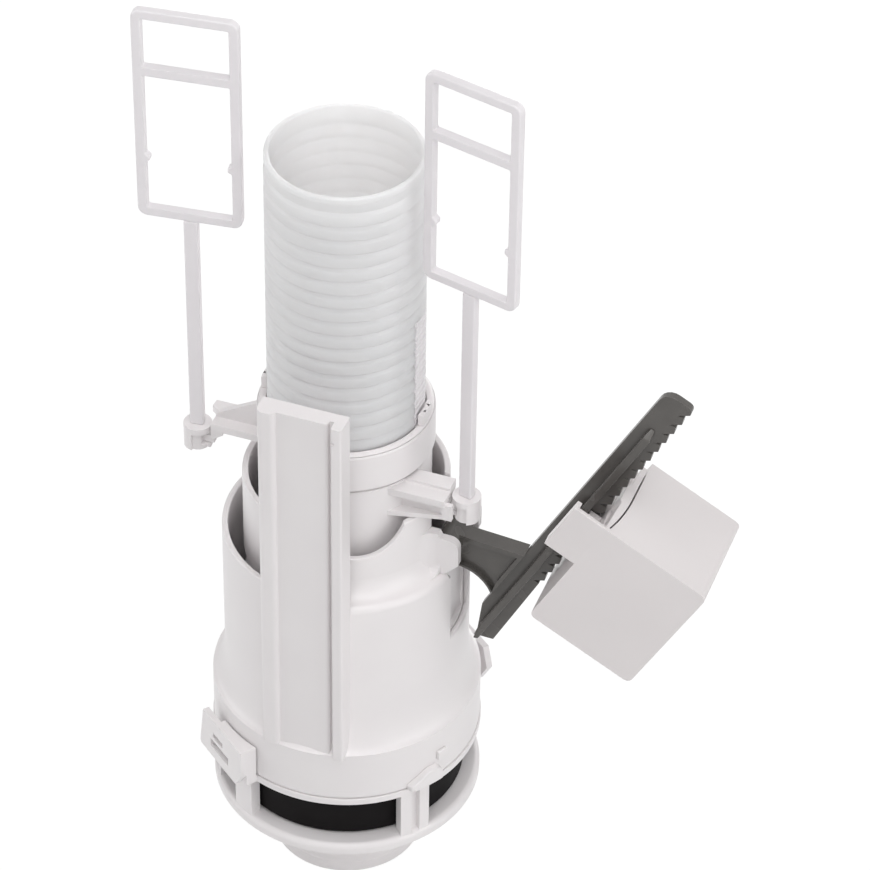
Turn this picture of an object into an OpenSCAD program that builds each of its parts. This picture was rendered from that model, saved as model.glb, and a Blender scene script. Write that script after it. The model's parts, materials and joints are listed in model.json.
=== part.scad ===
// Cistern flush valve: an outlet base, a valve body with a guide column, a lifting sleeve with
// two pull rods, an adjustable overflow tube, and a side lever that carries an adjustable float box.
// Millimetres. The Z axis is the overflow tube's axis, and Z = 0 is the underside of the base.
// The float lever swings out to +X, and the guide column stands on the -Y side.

/* [Overflow tube] */
// outside diameter of the overflow tube
tube_od = 50; // [40:0.5:60]
// wall of the overflow tube
tube_wall = 1.9; // [1.4:0.1:3]
// height of the tube's open top above the base
tube_top = 256.3; // [230:0.5:290]
// length of the overflow tube
tube_len = 150; // [130:1:170]
// spacing of the ridges along the tube
ridge_pitch = 5.2; // [4:0.1:7]
// height of the groove between two ridges
groove_h = 1.1; // [0.6:0.1:2]
// depth of the groove between two ridges
groove_depth = 0.6; // [0.3:0.05:0.9]
// width of the toothed strip on each side of the tube
strip_w = 8.4; // [5:0.1:12]
// distance from the tube's top down to the toothed strips
strip_drop = 54; // [40:1:70]
// spacing of the strip's teeth
strip_pitch = 2.6; // [2:0.1:4]
// depth of the flats on the tube that the strips lie on
strip_depth = 1.1; // [0.9:0.05:1.2]

/* [Lift sleeve] */
// clearance between pieces that slide in each other
slide_gap = 0.35; // [0.2:0.05:0.6]
// wall of the lift sleeve
sleeve_wall = 2; // [1.5:0.1:3]
// height of the collar's underside above the neck's rim
collar_rise = 13.5; // [13.5:0.5:20]
// height of the adjusting collar
collar_h = 14.3; // [10:0.1:20]
// wall of the collar outside the sleeve
collar_wall = 1; // [0.8:0.1:2.5]
// length of the sleeve that the collar covers
collar_overlap = 6; // [4:0.5:9]
// height of the groove around the sleeve under the collar
collar_groove_h = 1.2; // [0.6:0.1:1.6]
// depth of that groove
collar_groove_d = 1; // [0.5:0.1:1.2]
// height of the clips above the collar
clip_h = 4.5; // [3:0.5:8]
// width of the clips on the collar
clip_w = 8; // [5:0.5:12]
// wall of the clips
clip_t = 1.8; // [1.2:0.1:2.6]

/* [Lift arms] */
// distance of both arms in front of the tube's axis
arm_offset = 10.5; // [7:0.5:14]
// width of the arms
arm_w = 11; // [9:0.1:13]
// thickness of the arms' plates
arm_t = 2.5; // [1.8:0.1:3.5]
// thickness of the arms' webs
arm_web = 2; // [1.5:0.1:3]
// reach of the full-flush arm past the sleeve
full_arm_out = 17.1; // [14:0.1:24]
// reach of the half-flush arm past the sleeve
half_arm_out = 19.3; // [14:0.1:24]
// depth of the full-flush arm from top plate to lower flange
full_arm_h = 11; // [9:0.5:15]
// gap between the collar and the full-flush arm below it
full_arm_drop = 2; // [1:0.1:3]
// distance of the full-flush arm's plate in front of its rod
full_arm_shift = 1.9; // [1.5:0.1:2.6]
// drop of the full-flush rod's foot below its arm's top
full_foot_drop = 1.5; // [1:0.1:2]
// distance of the half-flush arm's plate behind its rod
half_arm_shift = 4; // [3:0.1:4.4]
// drop of the half-flush arm's ledge below the collar's underside
half_arm_drop = 1.5; // [1:0.1:3]
// height of the half-flush arm's web where it meets the collar
half_web_rise = 11.8; // [8:0.1:13]
// drop of the half-flush rod's foot below the collar's underside
half_foot_drop = 0.5; // [0.2:0.1:1]

/* [Pull rods] */
// diameter of the rods' feet
foot_d = 9.2; // [8:0.1:12]
// height of the rods' feet
foot_h = 8.6; // [7.6:0.1:12]
// radius of the swivel pins on the arms
swivel_pin_r = 2.2; // [1.6:0.1:2.8]
// radial play of pins in their holes
pin_play = 0.06; // [0.02:0.01:0.1]
// thickness of the tongues that carry the swivel pins
tongue_t = 2.6; // [2:0.1:3]
// width of the tongues that carry the swivel pins
tongue_w = 2; // [1.6:0.1:2.2]
// play above and below those tongues
tongue_play = 0.35; // [0.3:0.05:0.5]
// half angle of the slots in the feet that the tongues turn in
swivel_room = 52; // [50:1:60]
// thickness of the feet above the swivel pins
cap_t = 1.4; // [1:0.1:2]
// depth of the step between the shell and the core of the feet
foot_step = 0.9; // [0.5:0.1:1.2]
// height of the closed band at the top of the feet
foot_band = 2.2; // [1.6:0.1:3]
// direction where the step of the full-flush foot begins
full_step_from = -165; // [-175:1:-150]
// direction where the step of the full-flush foot ends
full_step_to = -72; // [-90:1:-60]
// direction where the step of the half-flush foot begins
half_step_from = -96; // [-120:1:-90]
// direction where the step of the half-flush foot ends
half_step_to = -15; // [-30:1:-5]
// width of the flat rods
rod_w = 4.5; // [3:0.1:6]
// thickness of the flat rods
rod_t = 3; // [2:0.1:4]
// length of the rods from foot to frame
rod_len = 81; // [60:1:110]
// outside width of the frames
frame_w = 33.3; // [26:0.1:40]
// outside height of the frames
frame_h = 76; // [60:0.5:90]
// width of the frames' bars
frame_bar = 3; // [2.2:0.1:4]
// outside corner radius of the frames
frame_r = 3; // [1.5:0.1:4]
// distance from a frame's top to its crossbar
crossbar_drop = 22; // [15:0.5:30]
// distance from a frame's foot to its two inner nubs
nub_rise = 21; // [14:0.5:30]
// length of the inner nubs
nub_out = 1.4; // [0.8:0.1:2.5]
// height of the inner nubs
nub_h = 1.5; // [1:0.1:3]
// slope above and below the inner nubs
nub_slope = 1; // [0.5:0.1:2]
// turn of the full-flush frame from the arms' line
full_turn = -13.7; // [-20:0.1:20]
// turn of the half-flush frame from the arms' line
half_turn = 6.7; // [-20:0.1:20]

/* [Valve body] */
// gap between the lift sleeve and the neck around it
neck_gap = 4; // [3:0.1:6]
// wall of the neck
neck_wall = 2; // [1.5:0.1:3]
// height of the neck's rim above the shoulder
neck_rise = 25.2; // [22:0.1:30]
// depth of the dip in the neck's rim beside the guide column
dip_depth = 10.3; // [3:0.1:11]
// radius of that dip
dip_r = 15.5; // [12:0.5:20]
// direction of that dip around the axis
dip_turn = -62; // [-70:1:-50]
// open width of the chamber between the neck and the shell
chamber_gap = 4.9; // [3.5:0.1:7]
// wall of the shell
shell_wall = 2; // [1.5:0.1:3]
// height of the shell's open rim above the base
shell_top = 109; // [107:0.5:114]
// drop of the shoulder on the lever's side below the shell's rim
roof_drop = 3.2; // [2:0.1:8]
// thickness of that shoulder
roof_t = 2; // [1.5:0.1:3]
// rounding of the shoulder's edge
roof_round = 2.4; // [1:0.1:3]
// half of the arc that the shoulder covers
roof_half_arc = 73; // [60:1:73]
// length of the neck below the shoulder
neck_foot = 4; // [3:0.5:8]
// step from the shell out to the skirt
skirt_step = 4.2; // [3:0.1:6]
// height of the straight skirt
skirt_h = 19.2; // [15:0.1:24]
// height of the flare from the skirt to the shell
flare_h = 13; // [8:0.5:18]
// wall of the skirt
skirt_wall = 2.2; // [1.5:0.1:3]
// play between the skirt and the base it turns on
seam_gap = 0.3; // [0.2:0.05:0.5]
// height of the recess in the shell below the lever
lever_slot_h = 29; // [22:1:36]
// depth of that recess
recess_d = 3.8; // [3:0.1:3.9]
// wall at the back of that recess
recess_wall = 1.6; // [1.2:0.1:1.8]
// length of the locking wedge around the skirt, in degrees
wedge_arc = 16; // [10:0.5:24]
// direction of the locking wedge
wedge_turn = -43; // [-50:0.5:-36]
// height of the locking wedge
wedge_h = 6; // [4:0.5:9]
// height of the locking wedge at its pointed end
wedge_tip = 1.8; // [1:0.1:3]
// width of the level top of the locking wedge
wedge_flat = 3.6; // [2:0.1:5]
// width and height of the slope at the blunt end of the locking wedge
wedge_back = 1.8; // [1:0.1:3]
// projection of the locking wedge
wedge_out = 2.6; // [1.5:0.1:4]
// side of the square nub above the wedge
nub_side = 4; // [3:0.5:6]

/* [Guide column] */
// width of the guide column
column_w = 28.3; // [22:0.1:32]
// distance of the guide column's middle from the axis, towards the lever
column_shift = 1.2; // [0:0.1:2]
// depth of the guide column
column_d = 7.5; // [7.3:0.1:12]
// distance that the column's front stands out from the shell
column_out = 4.2; // [3:0.1:6]
// height of the column's top above the base
column_top = 185; // [160:1:210]
// width of the column's left rail
left_rail_w = 6.2; // [5:0.1:8]
// width of the column's right rail
right_rail_w = 3.5; // [2.5:0.1:5]
// rounding of the left rail's outer edge
left_rail_round = 2.6; // [1.5:0.1:3]
// depth of the panel between the rails
panel_depth = 1.6; // [0.8:0.1:2.5]
// rounding of the panel's edge beside the groove
panel_round = 1; // [0.4:0.1:1.6]
// distance of the small dimple in the right rail below the column's top
dimple_drop = 5.9; // [3:0.1:10]
// radius of that dimple
dimple_r = 0.6; // [0.4:0.1:1]
// width of the groove beside the right rail
groove_w = 1.6; // [0.8:0.1:2.5]
// depth of that groove behind the panel
groove_back = 2; // [1:0.1:3]

/* [Outlet base] */
// outside radius of the base past the skirt
base_lip = 0.35; // [0.2:0.05:2]
// thickness of the base plate
floor_t = 4; // [3:0.1:6]
// rounding of the base plate's top edge
floor_round = 2; // [1:0.1:2.8]
// height of the outlet windows
window_h = 19; // [15:0.5:24]
// height of the ring over the windows
top_ring_h = 2.5; // [2:0.1:4]
// radial width of the ring over the windows
top_ring_w = 4; // [3:0.1:6]
// distance of the posts inside the base's edge
post_inset = 0.8; // [0.4:0.1:2]
// radial depth of the posts
post_d = 4; // [3:0.1:6]
// direction of the wide post beside the left bracket, in degrees
wide_post_turn = -121.2; // [-125:0.1:-118]
// arc of that post, in degrees
wide_post_arc = 11.5; // [8:0.1:14]
// direction of the thin post behind the left bracket, in degrees
thin_post_turn = -145.5; // [-150:0.1:-142]
// arc of that post, in degrees
thin_post_arc = 2; // [1.5:0.1:4]
// direction of the channelled post below the locking wedge, in degrees
pair_post_turn = -38.2; // [-42:0.1:-34]
// arc of that post, in degrees
pair_post_arc = 14.3; // [11:0.1:18]
// arc of that post's channel, in degrees
pair_channel_arc = 4; // [2:0.1:6]
// outside radius of the outlet spigot
spigot_r = 25.2; // [22:0.1:28]
// wall of the outlet spigot
spigot_wall = 2.5; // [2:0.1:4]
// length of the outlet spigot below the base
spigot_len = 28; // [20:0.5:40]
// height of the valve seat above the base plate
seat_h = 3; // [2:0.1:5]
// width of the valve seat's lip
seat_w = 1.6; // [1.2:0.1:3]
// direction of the left bayonet bracket
bracket_turn = -128.5; // [-136:0.5:-128]
// width of the bayonet brackets
bracket_w = 27.5; // [22:0.5:29]
// height of the bayonet brackets
bracket_h = 17; // [14:0.5:20]
// thickness of the bayonet brackets
bracket_t = 2.2; // [1.6:0.1:3]
// drop of the brackets below the base's top ring
bracket_drop = 4; // [3:0.5:8]
// distance of the brackets' plates outside the base's edge
bracket_gap = 1.7; // [1.2:0.1:4]
// clearance between the brackets and the turning skirt
bracket_play = 0.5; // [0.3:0.1:0.8]
// lean of the brackets' far edge
bracket_lean = 2.6; // [0:0.1:4]
// corner cut off the brackets' plates at the near end
bracket_corner = 4; // [2:0.1:6]
// corner cut off the right bracket's plate at the far end
bracket_cut = 9.5; // [2:0.1:11]
// height of the long lower slots in the brackets
bracket_slot_h = 3.4; // [2:0.1:4]
// height of the short upper slots in the brackets
bracket_slot_h2 = 2.3; // [1.5:0.1:3]

/* [Seal and inner float] */
// thickness of the rubber seal
seal_t = 3.2; // [2:0.1:5]
// gap that is left between the seal and its seat
seal_gap = 0.3; // [0.2:0.05:0.5]
// clearance between the seal and the posts around it
seal_post_gap = 0.7; // [0.4:0.1:3]
// clearance between the seal and the side of the seat
seal_seat_gap = 2; // [1:0.1:4]
// height of the seal's turned-up edge
seal_edge_h = 7; // [4:0.5:9]
// wall of the seal's turned-up edge
seal_edge_t = 1.6; // [1.2:0.1:3]
// thickness of the seal carrier
carrier_t = 3; // [2:0.1:5]
// height of the inner float ring
float_ring_h = 34; // [24:0.5:36]
// lift of the inner float ring above the base
float_ring_z = 50; // [48:0.5:52]
// distance of the inner float ring inside the shell, clear of the lever's recess
float_ring_gap = 3.95; // [3.8:0.05:5]

/* [Float lever] */
// distance of the lever's pivot outside the neck
pivot_out = 3.3; // [2.5:0.1:5]
// height of the lever's pivot above the shoulder
pivot_rise = 7.7; // [7:0.1:10]
// radius of the lever's barrel
barrel_r = 4.2; // [3.6:0.1:5.2]
// length of the lever's barrel
barrel_len = 16; // [12:0.5:20]
// radius of the lever's pivot pins
pivot_pin_r = 2.4; // [1.8:0.1:2.8]
// play between the barrel and the ears beside it
ear_play = 0.4; // [0.3:0.05:0.8]
// thickness of the ears
ear_t = 2.8; // [2.2:0.1:4]
// wall of the ears that closes the pivot holes
ear_cover = 0.8; // [0.5:0.1:1.2]
// wall of the ears around the pivot pins
ear_wall = 3.1; // [2.5:0.1:4]
// height of the ears' shoulders above the pivot
ear_rise = 8.8; // [8:0.1:10]
// height of the ears' rounded tops above the pivot
ear_top = 7.1; // [6:0.1:7.8]
// rounding of the ears' tops
ear_corner = 3.4; // [2:0.1:4.5]
// radius of the hollow between the ears and the neck
ear_blend = 6; // [3:0.1:8]
// radius of the hollow between the ears and the shoulder
ear_foot = 4.5; // [2:0.1:6]
// lean of the toothed bar from the vertical
lever_tilt = 28.5; // [20:0.5:36]
// distance from the pivot to the toothed bar
rack_out = 21.5; // [19:0.1:26]
// width of the toothed bar
rack_w = 10.4; // [9:0.1:14]
// thickness of the toothed bar
rack_t = 2.7; // [2.4:0.1:4]
// reach of the toothed bar above the pivot
rack_up = 102.7; // [96:0.1:108]
// reach of the toothed bar below the pivot
rack_down = 31; // [24:0.5:33]
// spacing of the bar's teeth
tooth_pitch = 4.9; // [4:0.1:7]
// depth of the bar's teeth
tooth_depth = 2.7; // [1.2:0.1:3]
// width of the rib along the bar
rib_w = 2.6; // [1.8:0.1:4]
// height of the rib on each side of the bar
rib_h = 3; // [1.5:0.1:4]
// distance of the rib from the bar's plain edge
rib_in = 3.4; // [2:0.1:5]
// distance of the rib's end below the bar's top
rib_drop = 15.2; // [8:0.1:24]
// length of the ramp at the rib's end
rib_ramp = 3.2; // [1:0.1:6]
// rounding of the bar's top on its plain side
rack_round = 4.3; // [2:0.1:6]
// rounding of the bar's top on its toothed side
rack_nose_r = 2; // [0.5:0.1:3]
// length of the slanted edge at the bar's foot
rack_cut = 13.6; // [8:0.1:16]
// width of that slant across the bar
rack_cut_w = 4.2; // [2:0.1:5]
// height of the small lip below the slant
rack_lip = 2.8; // [1:0.1:4]
// width of that lip beyond the slant
rack_lip_w = 0.3; // [0.2:0.1:1]
// height of the toothed edge's end above the bar's foot
rack_toe = 3; // [1:0.1:5]
// height above the pivot where the lever's neck meets the bar
neck_join_up = 12.8; // [11:0.1:16]
// depth below the pivot where the lever's neck meets the bar
neck_join_down = 7.4; // [5:0.1:10]
// thickness of the lever's neck
neck_plate_t = 6; // [5:0.1:10]
// radius of the sweep below the lever's neck
neck_sweep_r = 13.6; // [12:0.1:16]
// direction where that sweep begins, in degrees
neck_sweep_from = 118; // [110:1:125]
// direction where that sweep ends, in degrees
neck_sweep_to = 50; // [45:1:60]
// wall left between the pockets of the lever's neck
neck_web = 2.6; // [1.6:0.1:4]
// width of the rim around those pockets
neck_rim = 2.2; // [1.5:0.1:3]

/* [Float box] */
// depth of the float box away from the bar
box_u = 38.6; // [30:0.1:46]
// height of the float box along the bar
box_v = 49.5; // [40:0.5:58]
// width of the float box along the pivot
box_w = 37; // [30:0.5:44]
// wall of the float box
box_wall = 1.6; // [1.2:0.1:3]
// rounding of the float box's edges
box_r = 2.2; // [1:0.1:4]
// height of the float box's underside above the pivot, along the bar
box_rise = 7.8; // [0:0.1:15]
// play between the float box and the toothed bar
box_gap = 0.4; // [0.3:0.05:0.8]
// height of the wing that reaches around the bar
wing_h = 20; // [14:0.5:26]
// reach of the wing past the bar's plain edge
wing_past = 0.6; // [0.3:0.1:2]
// length of the lip at the wing's end
wing_lip = 4; // [2:0.1:6]
// gap between the latch's leaf and the back of its pocket
latch_gap = 0.5; // [0.3:0.05:0.8]
// height of the latch's leaf
latch_h = 6; // [4:0.1:8]
// lean of the leaf away from the bar
latch_lean = 2; // [1.5:0.1:2.1]
// distance of the leaf's free end inside the box's back
latch_in = 3.4; // [2:0.1:5]
// play between the leaf's pawl and the bar's teeth
pawl_play = 0.5; // [0.4:0.05:0.7]
// half of the pawl's width
pawl_half = 3.4; // [2.5:0.1:4.5]
// depth of the pocket that the leaf lies in
pocket_d = 4.1; // [3.9:0.1:5]
// radius of the pocket's curved back
pocket_r = 60; // [50:1:80]
// room below the leaf in its pocket
pocket_room = 0.8; // [0.4:0.1:1.5]
// wall of the two guides that hook over the bar's ribs
guide_t = 1.4; // [1:0.1:2]
// height of the guides along the bar
guide_h = 17; // [10:0.5:20]
// height of the guides above the float box's underside
guide_rise = 20; // [14:0.5:24]

/* [Hidden] */
$fn = 96;

white = [0.93, 0.92, 0.91];
pearl = [0.95, 0.94, 0.94];
dark = [0.30, 0.31, 0.29];
black = [0.05, 0.05, 0.05];

// radii from the tube outwards
tube_r = tube_od / 2;
sleeve_r_in = tube_r + slide_gap;
sleeve_r = sleeve_r_in + sleeve_wall;
collar_r = sleeve_r + collar_wall;
neck_r_in = sleeve_r + neck_gap;
neck_r = neck_r_in + neck_wall;
shell_r_in = neck_r + chamber_gap;
shell_r = shell_r_in + shell_wall;
skirt_r = shell_r + skirt_step;
skirt_r_in = skirt_r - skirt_wall;
base_r = skirt_r + base_lip;

// heights from the base upwards
base_top = floor_t + window_h + top_ring_h;
skirt_z = base_top + seam_gap;
flare_z = skirt_z + skirt_h;
flare_top = flare_z + flare_h + 0.01;
roof_z = shell_top - roof_drop;
neck_top = roof_z + neck_rise;
collar_z = neck_top + collar_rise;
pivot_z = roof_z + pivot_rise;
seat_z = floor_t + seat_h;
seal_z = seat_z + seal_gap;
carrier_z = seal_z + seal_t;
seal_r = base_r - post_inset - post_d - seal_post_gap;
seal_hole_r = spigot_r - spigot_wall - seat_w * 2;
sleeve_z = carrier_z + carrier_t;
sleeve_top = collar_z + collar_overlap;
collar_top = collar_z + collar_h;
tube_z = tube_top - tube_len;
strip_top = tube_top - strip_drop;

// lever, ears and the slot they stand beside
pivot_x = neck_r + pivot_out;
slot_half = barrel_len / 2 + ear_play;
slot_z = roof_z - lever_slot_h;
pin_end = slot_half + ear_t - ear_cover - ear_play;
boss_r = pivot_pin_r + ear_wall;
rack_in = rack_out;
rack_edge = rack_out + rack_w;
box_in = rack_edge + box_gap;
box_top = box_rise + box_v;

// arms and rods
full_top = collar_z - full_arm_drop;
full_x = sleeve_r + full_arm_out;
full_foot_top = full_top - full_foot_drop;
half_x = sleeve_r + half_arm_out;
half_z = collar_z - half_arm_drop;
half_foot_top = collar_z - half_foot_drop;
foot_r = foot_d / 2;
foot_reach = foot_r + slide_gap;

over = 60;

function arc(cx, cy, r, a0, a1, n) =
    [for (i = [0:n]) let (a = a0 + (a1 - a0) * i / n) [cx + r * cos(a), cy + r * sin(a)]];

function round_rect(x0, y0, x1, y1, r, n = 6) = concat(
    arc(x1 - r, y0 + r, r, -90, 0, n),
    arc(x1 - r, y1 - r, r, 0, 90, n),
    arc(x0 + r, y1 - r, r, 90, 180, n),
    arc(x0 + r, y0 + r, r, 180, 270, n));

// a plain ring about the Z axis
module ring(r_in, r_out, z0, z1) {
    rotate_extrude()
        polygon([[r_in, z0], [r_out, z0], [r_out, z1], [r_in, z1]]);
}

// part of a ring about the Z axis, from direction a0 to direction a1
module ring_part(r_in, r_out, z0, z1, a0, a1) {
    rotate([0, 0, a0])
        rotate_extrude(angle = a1 - a0)
            polygon([[r_in, z0], [r_out, z0], [r_out, z1], [r_in, z1]]);
}

// an upright outline in the XZ plane, drawn out from y0 to y1
module along_y(y0, y1) {
    translate([0, y1, 0])
        rotate([90, 0, 0])
            linear_extrude(y1 - y0)
                children();
}

// a round pin or hole along Y
module pin_y(x, z, r, y0, y1) {
    translate([x, y1, z])
        rotate([90, 0, 0])
            cylinder(r = r, h = y1 - y0);
}

// the lever's own axes: X away from the toothed bar, Z along it, from the pivot
module at_lever() {
    translate([pivot_x, 0, pivot_z])
        rotate([0, lever_tilt, 0])
            children();
}

// outlet base

module post(turn, arc_deg) {
    ring_part(base_r - post_inset - post_d, base_r - post_inset, floor_t - floor_round,
        base_top - top_ring_h / 2, turn - arc_deg / 2, turn + arc_deg / 2);
}

module base_posts() {
    post(wide_post_turn, wide_post_arc);
    post(thin_post_turn, thin_post_arc);
    difference() {
        post(pair_post_turn, pair_post_arc);
        ring_part(base_r - post_inset - post_d / 2, base_r, 0, base_top,
            pair_post_turn - pair_channel_arc / 2, pair_post_turn + pair_channel_arc / 2);
    }
}

module outlet_base() {
    color(white) {
        rotate_extrude()
            polygon(concat(
                [[spigot_r - spigot_wall, -spigot_len], [spigot_r, -spigot_len], [spigot_r, 0],
                    [base_r, 0]],
                arc(base_r - floor_round, floor_t - floor_round, floor_round, 0, 90, 6),
                [[spigot_r, floor_t], [spigot_r - 0.3, seat_z], [spigot_r - seat_w, seat_z],
                    [spigot_r - spigot_wall, floor_t]]));
        base_posts();
        rotate([0, 0, 180])
            base_posts();
        ring(base_r - top_ring_w, base_r, base_top - top_ring_h, base_top);
    }
}

// a bayonet bracket: an upright plate with two slots, on a ledge of the base's top ring,
// closed at its near end by a tab and on top by a shelf
module bracket(far_cut) {
    plate_x = base_r + bracket_gap;
    half = bracket_w / 2;
    low = base_top - bracket_drop;
    high = low + bracket_h;
    color(white)
        difference() {
            union() {
                translate([plate_x, 0, 0])
                    rotate([90, 0, 90])
                        linear_extrude(bracket_t)
                            polygon([[-half + bracket_lean, high], [-half, low + far_cut],
                                [far_cut * 0.6 - half, low], [half - bracket_corner, low],
                                [half, low + bracket_corner * 1.5], [half, high]]);
                translate([0, -half * 0.56, base_top - top_ring_h])
                    cube([plate_x, half * 1.56, top_ring_h]);
                difference() {
                    union() {
                        translate([0, -half * 0.2, high - bracket_t])
                            cube([plate_x, half * 1.2, bracket_t]);
                        translate([0, half - bracket_t, base_top])
                            cube([plate_x, bracket_t, high - base_top]);
                    }
                    cylinder(r = skirt_r + bracket_play, h = high + 1);
                }
            }
            cylinder(r = base_r, h = base_top);
            translate([plate_x - 1, -half * 0.47, low + bracket_h * 0.25])
                cube([bracket_t + 2, half * 0.85, bracket_slot_h]);
            translate([plate_x - 1, -half * 0.35, low + bracket_h * 0.53])
                cube([bracket_t + 2, half * 0.46, bracket_slot_h2]);
        }
}

module bracket_left() {
    rotate([0, 0, bracket_turn])
        bracket(1);
}

module bracket_right() {
    rotate([0, 0, bracket_turn + 180])
        bracket(bracket_cut);
}

// valve body

// outline of the skirt, flare and shell, from the skirt's foot up to height z on the outside
function shell_outside(z) = concat(
    [[skirt_r, skirt_z], [skirt_r, flare_z]],
    [for (i = [1:6]) let (a = 90 * i / 6)
        [skirt_r - skirt_step * sin(a), flare_z + flare_h * (1 - cos(a))]],
    [[shell_r, z]]);

// the gap for the lever's foot, from x0 outwards: a recess in the shell and a notch in the shoulder
module lever_slot(x0) {
    translate([x0, -slot_half, slot_z])
        cube([over, 2 * slot_half, over]);
}

// the skirt around the base's top ring
module body_skirt() {
    color(white)
        ring(skirt_r_in, skirt_r, skirt_z, flare_z);
}

// the flare that leads from the skirt in to the shell
module body_flare() {
    outside = shell_outside(flare_top);
    color(white)
        rotate_extrude()
            polygon(concat(
                [for (i = [1:len(outside) - 1]) outside[i]],
                [[shell_r_in, flare_top], [shell_r_in, flare_z + flare_h * 0.8], [skirt_r_in, flare_z]]));
}

// the round shell, open above, with its rim cut down where the shoulder lies on it
module body_shell() {
    low_rim = roof_z - roof_round;
    color(white)
        difference() {
            ring(shell_r_in, shell_r, flare_top, shell_top);
            ring_part(shell_r_in - 1, shell_r + 1, low_rim, shell_top + 1, -roof_half_arc, roof_half_arc);
            lever_slot(shell_r_in - recess_d);
        }
}

// the closed back, cheeks and floor of the recess below the lever, inside the shell
module lever_recess() {
    low_rim = roof_z - roof_round;
    recess_x = shell_r - recess_d;
    color(white)
        difference() {
            intersection() {
                cylinder(r = shell_r_in, h = low_rim);
                translate([recess_x - recess_wall, -slot_half - recess_wall, slot_z - recess_wall])
                    cube([over, 2 * (slot_half + recess_wall), over]);
            }
            lever_slot(recess_x);
        }
}

// half of the shoulder that roofs the chamber on the lever's side
module shoulder(a0, a1) {
    low_rim = roof_z - roof_round;
    color(white)
        difference() {
            rotate([0, 0, a0])
                rotate_extrude(angle = a1 - a0)
                    polygon(concat(
                        [[neck_r, roof_z - roof_t], [shell_r_in, low_rim]],
                        arc(shell_r - roof_round, low_rim, roof_round, 0, 90, 6),
                        [[neck_r, roof_z]]));
            lever_slot(neck_r - neck_wall);
        }
}

module shoulder_front() {
    shoulder(-roof_half_arc, 0);
}

module shoulder_back() {
    shoulder(0, roof_half_arc);
}

module inner_neck() {
    color(white)
        difference() {
            ring(neck_r_in, neck_r, roof_z - roof_t - neck_foot, neck_top);
            rotate([0, 0, dip_turn])
                translate([0, 0, neck_top - dip_depth + dip_r])
                    rotate([0, 90, 0])
                        cylinder(r = dip_r, h = over);
            translate([neck_r_in - neck_gap, -slot_half, pivot_z - barrel_r - ear_play])
                cube([over, 2 * slot_half, over]);
        }
}

// the column's section, seen from above: two rails with a recessed panel and a groove
module column_section() {
    front = -shell_r - column_out;
    back = front + column_d;
    panel = front + panel_depth;
    left = column_shift - column_w / 2;
    right = column_shift + column_w / 2;
    groove = right - right_rail_w - groove_w;
    rail_r = panel_depth;
    polygon(concat(
        [[left, back]],
        arc(left + left_rail_round, front + left_rail_round, left_rail_round, 180, 270, 5),
        arc(left + left_rail_w - rail_r, front + rail_r, rail_r, 270, 360, 5),
        arc(groove - panel_round, panel + panel_round, panel_round, 270, 360, 4),
        [[groove, panel + groove_back], [right - right_rail_w, panel + groove_back]],
        arc(right - right_rail_w + 0.5, front + 0.5, 0.5, 180, 270, 3),
        arc(right - 0.8, front + 0.8, 0.8, 270, 360, 4),
        [[right, back]]));
}

module guide_column() {
    color(white)
        difference() {
            translate([0, 0, flare_z])
                linear_extrude(column_top - flare_z)
                    column_section();
            rotate_extrude()
                polygon(concat(shell_outside(shell_top), [[0, shell_top], [0, skirt_z]]));
            pin_y(column_shift + column_w / 2 - right_rail_w * 0.8, column_top - dimple_drop, dimple_r,
                -shell_r - column_out - 1, -shell_r - column_out + dimple_r);
        }
}

// outline of an ear, from the side: a shoulder against the neck and a rounded plate around the pivot
module ear_outline() {
    out = pivot_x + boss_r;
    polygon(concat(
        [[0, roof_z], [shell_r - roof_round - 0.6, roof_z], [out, pivot_z - boss_r / 2]],
        arc(out - ear_corner, pivot_z + ear_top - ear_corner, ear_corner, 0, 90, 6),
        [[pivot_x - 0.6, pivot_z + ear_top], [pivot_x - 1.4, pivot_z + ear_rise], [0, pivot_z + ear_rise]]));
}

// an ear beside the lever with a blind pivot hole, and a hollow that leads from the neck into it
module ear(way) {
    side = slot_half + ear_t;
    blend_x = sqrt(pow(neck_r + ear_blend, 2) - pow(side + ear_blend, 2));
    blend_y = (side + ear_blend) * neck_r / (neck_r + ear_blend);
    color(white)
        scale([1, way, 1])
            difference() {
                union() {
                    along_y(slot_half, side)
                        ear_outline();
                    difference() {
                        along_y(side - 0.5, blend_y)
                            ear_outline();
                        translate([blend_x, side - 1, 0])
                            cube([over, over, pivot_z + over]);
                        translate([blend_x, side + ear_blend, 0])
                            cylinder(r = ear_blend, h = pivot_z + over);
                    }
                    intersection() {
                        rotate([90, 0, 90])
                            linear_extrude(over)
                                polygon(concat(
                                    [[side - 0.5, roof_z]],
                                    arc(side + ear_foot, roof_z + ear_foot, ear_foot, 270, 180, 6),
                                    [[side - 0.5, roof_z + ear_foot]]));
                        cylinder(r = shell_r - roof_round, h = pivot_z);
                    }
                }
                cylinder(r = neck_r, h = pivot_z + over);
                pin_y(pivot_x, pivot_z, pivot_pin_r + pin_play, 0, side - ear_cover);
            }
}

module ear_front() {
    ear(-1);
}

module ear_back() {
    ear(1);
}

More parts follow.
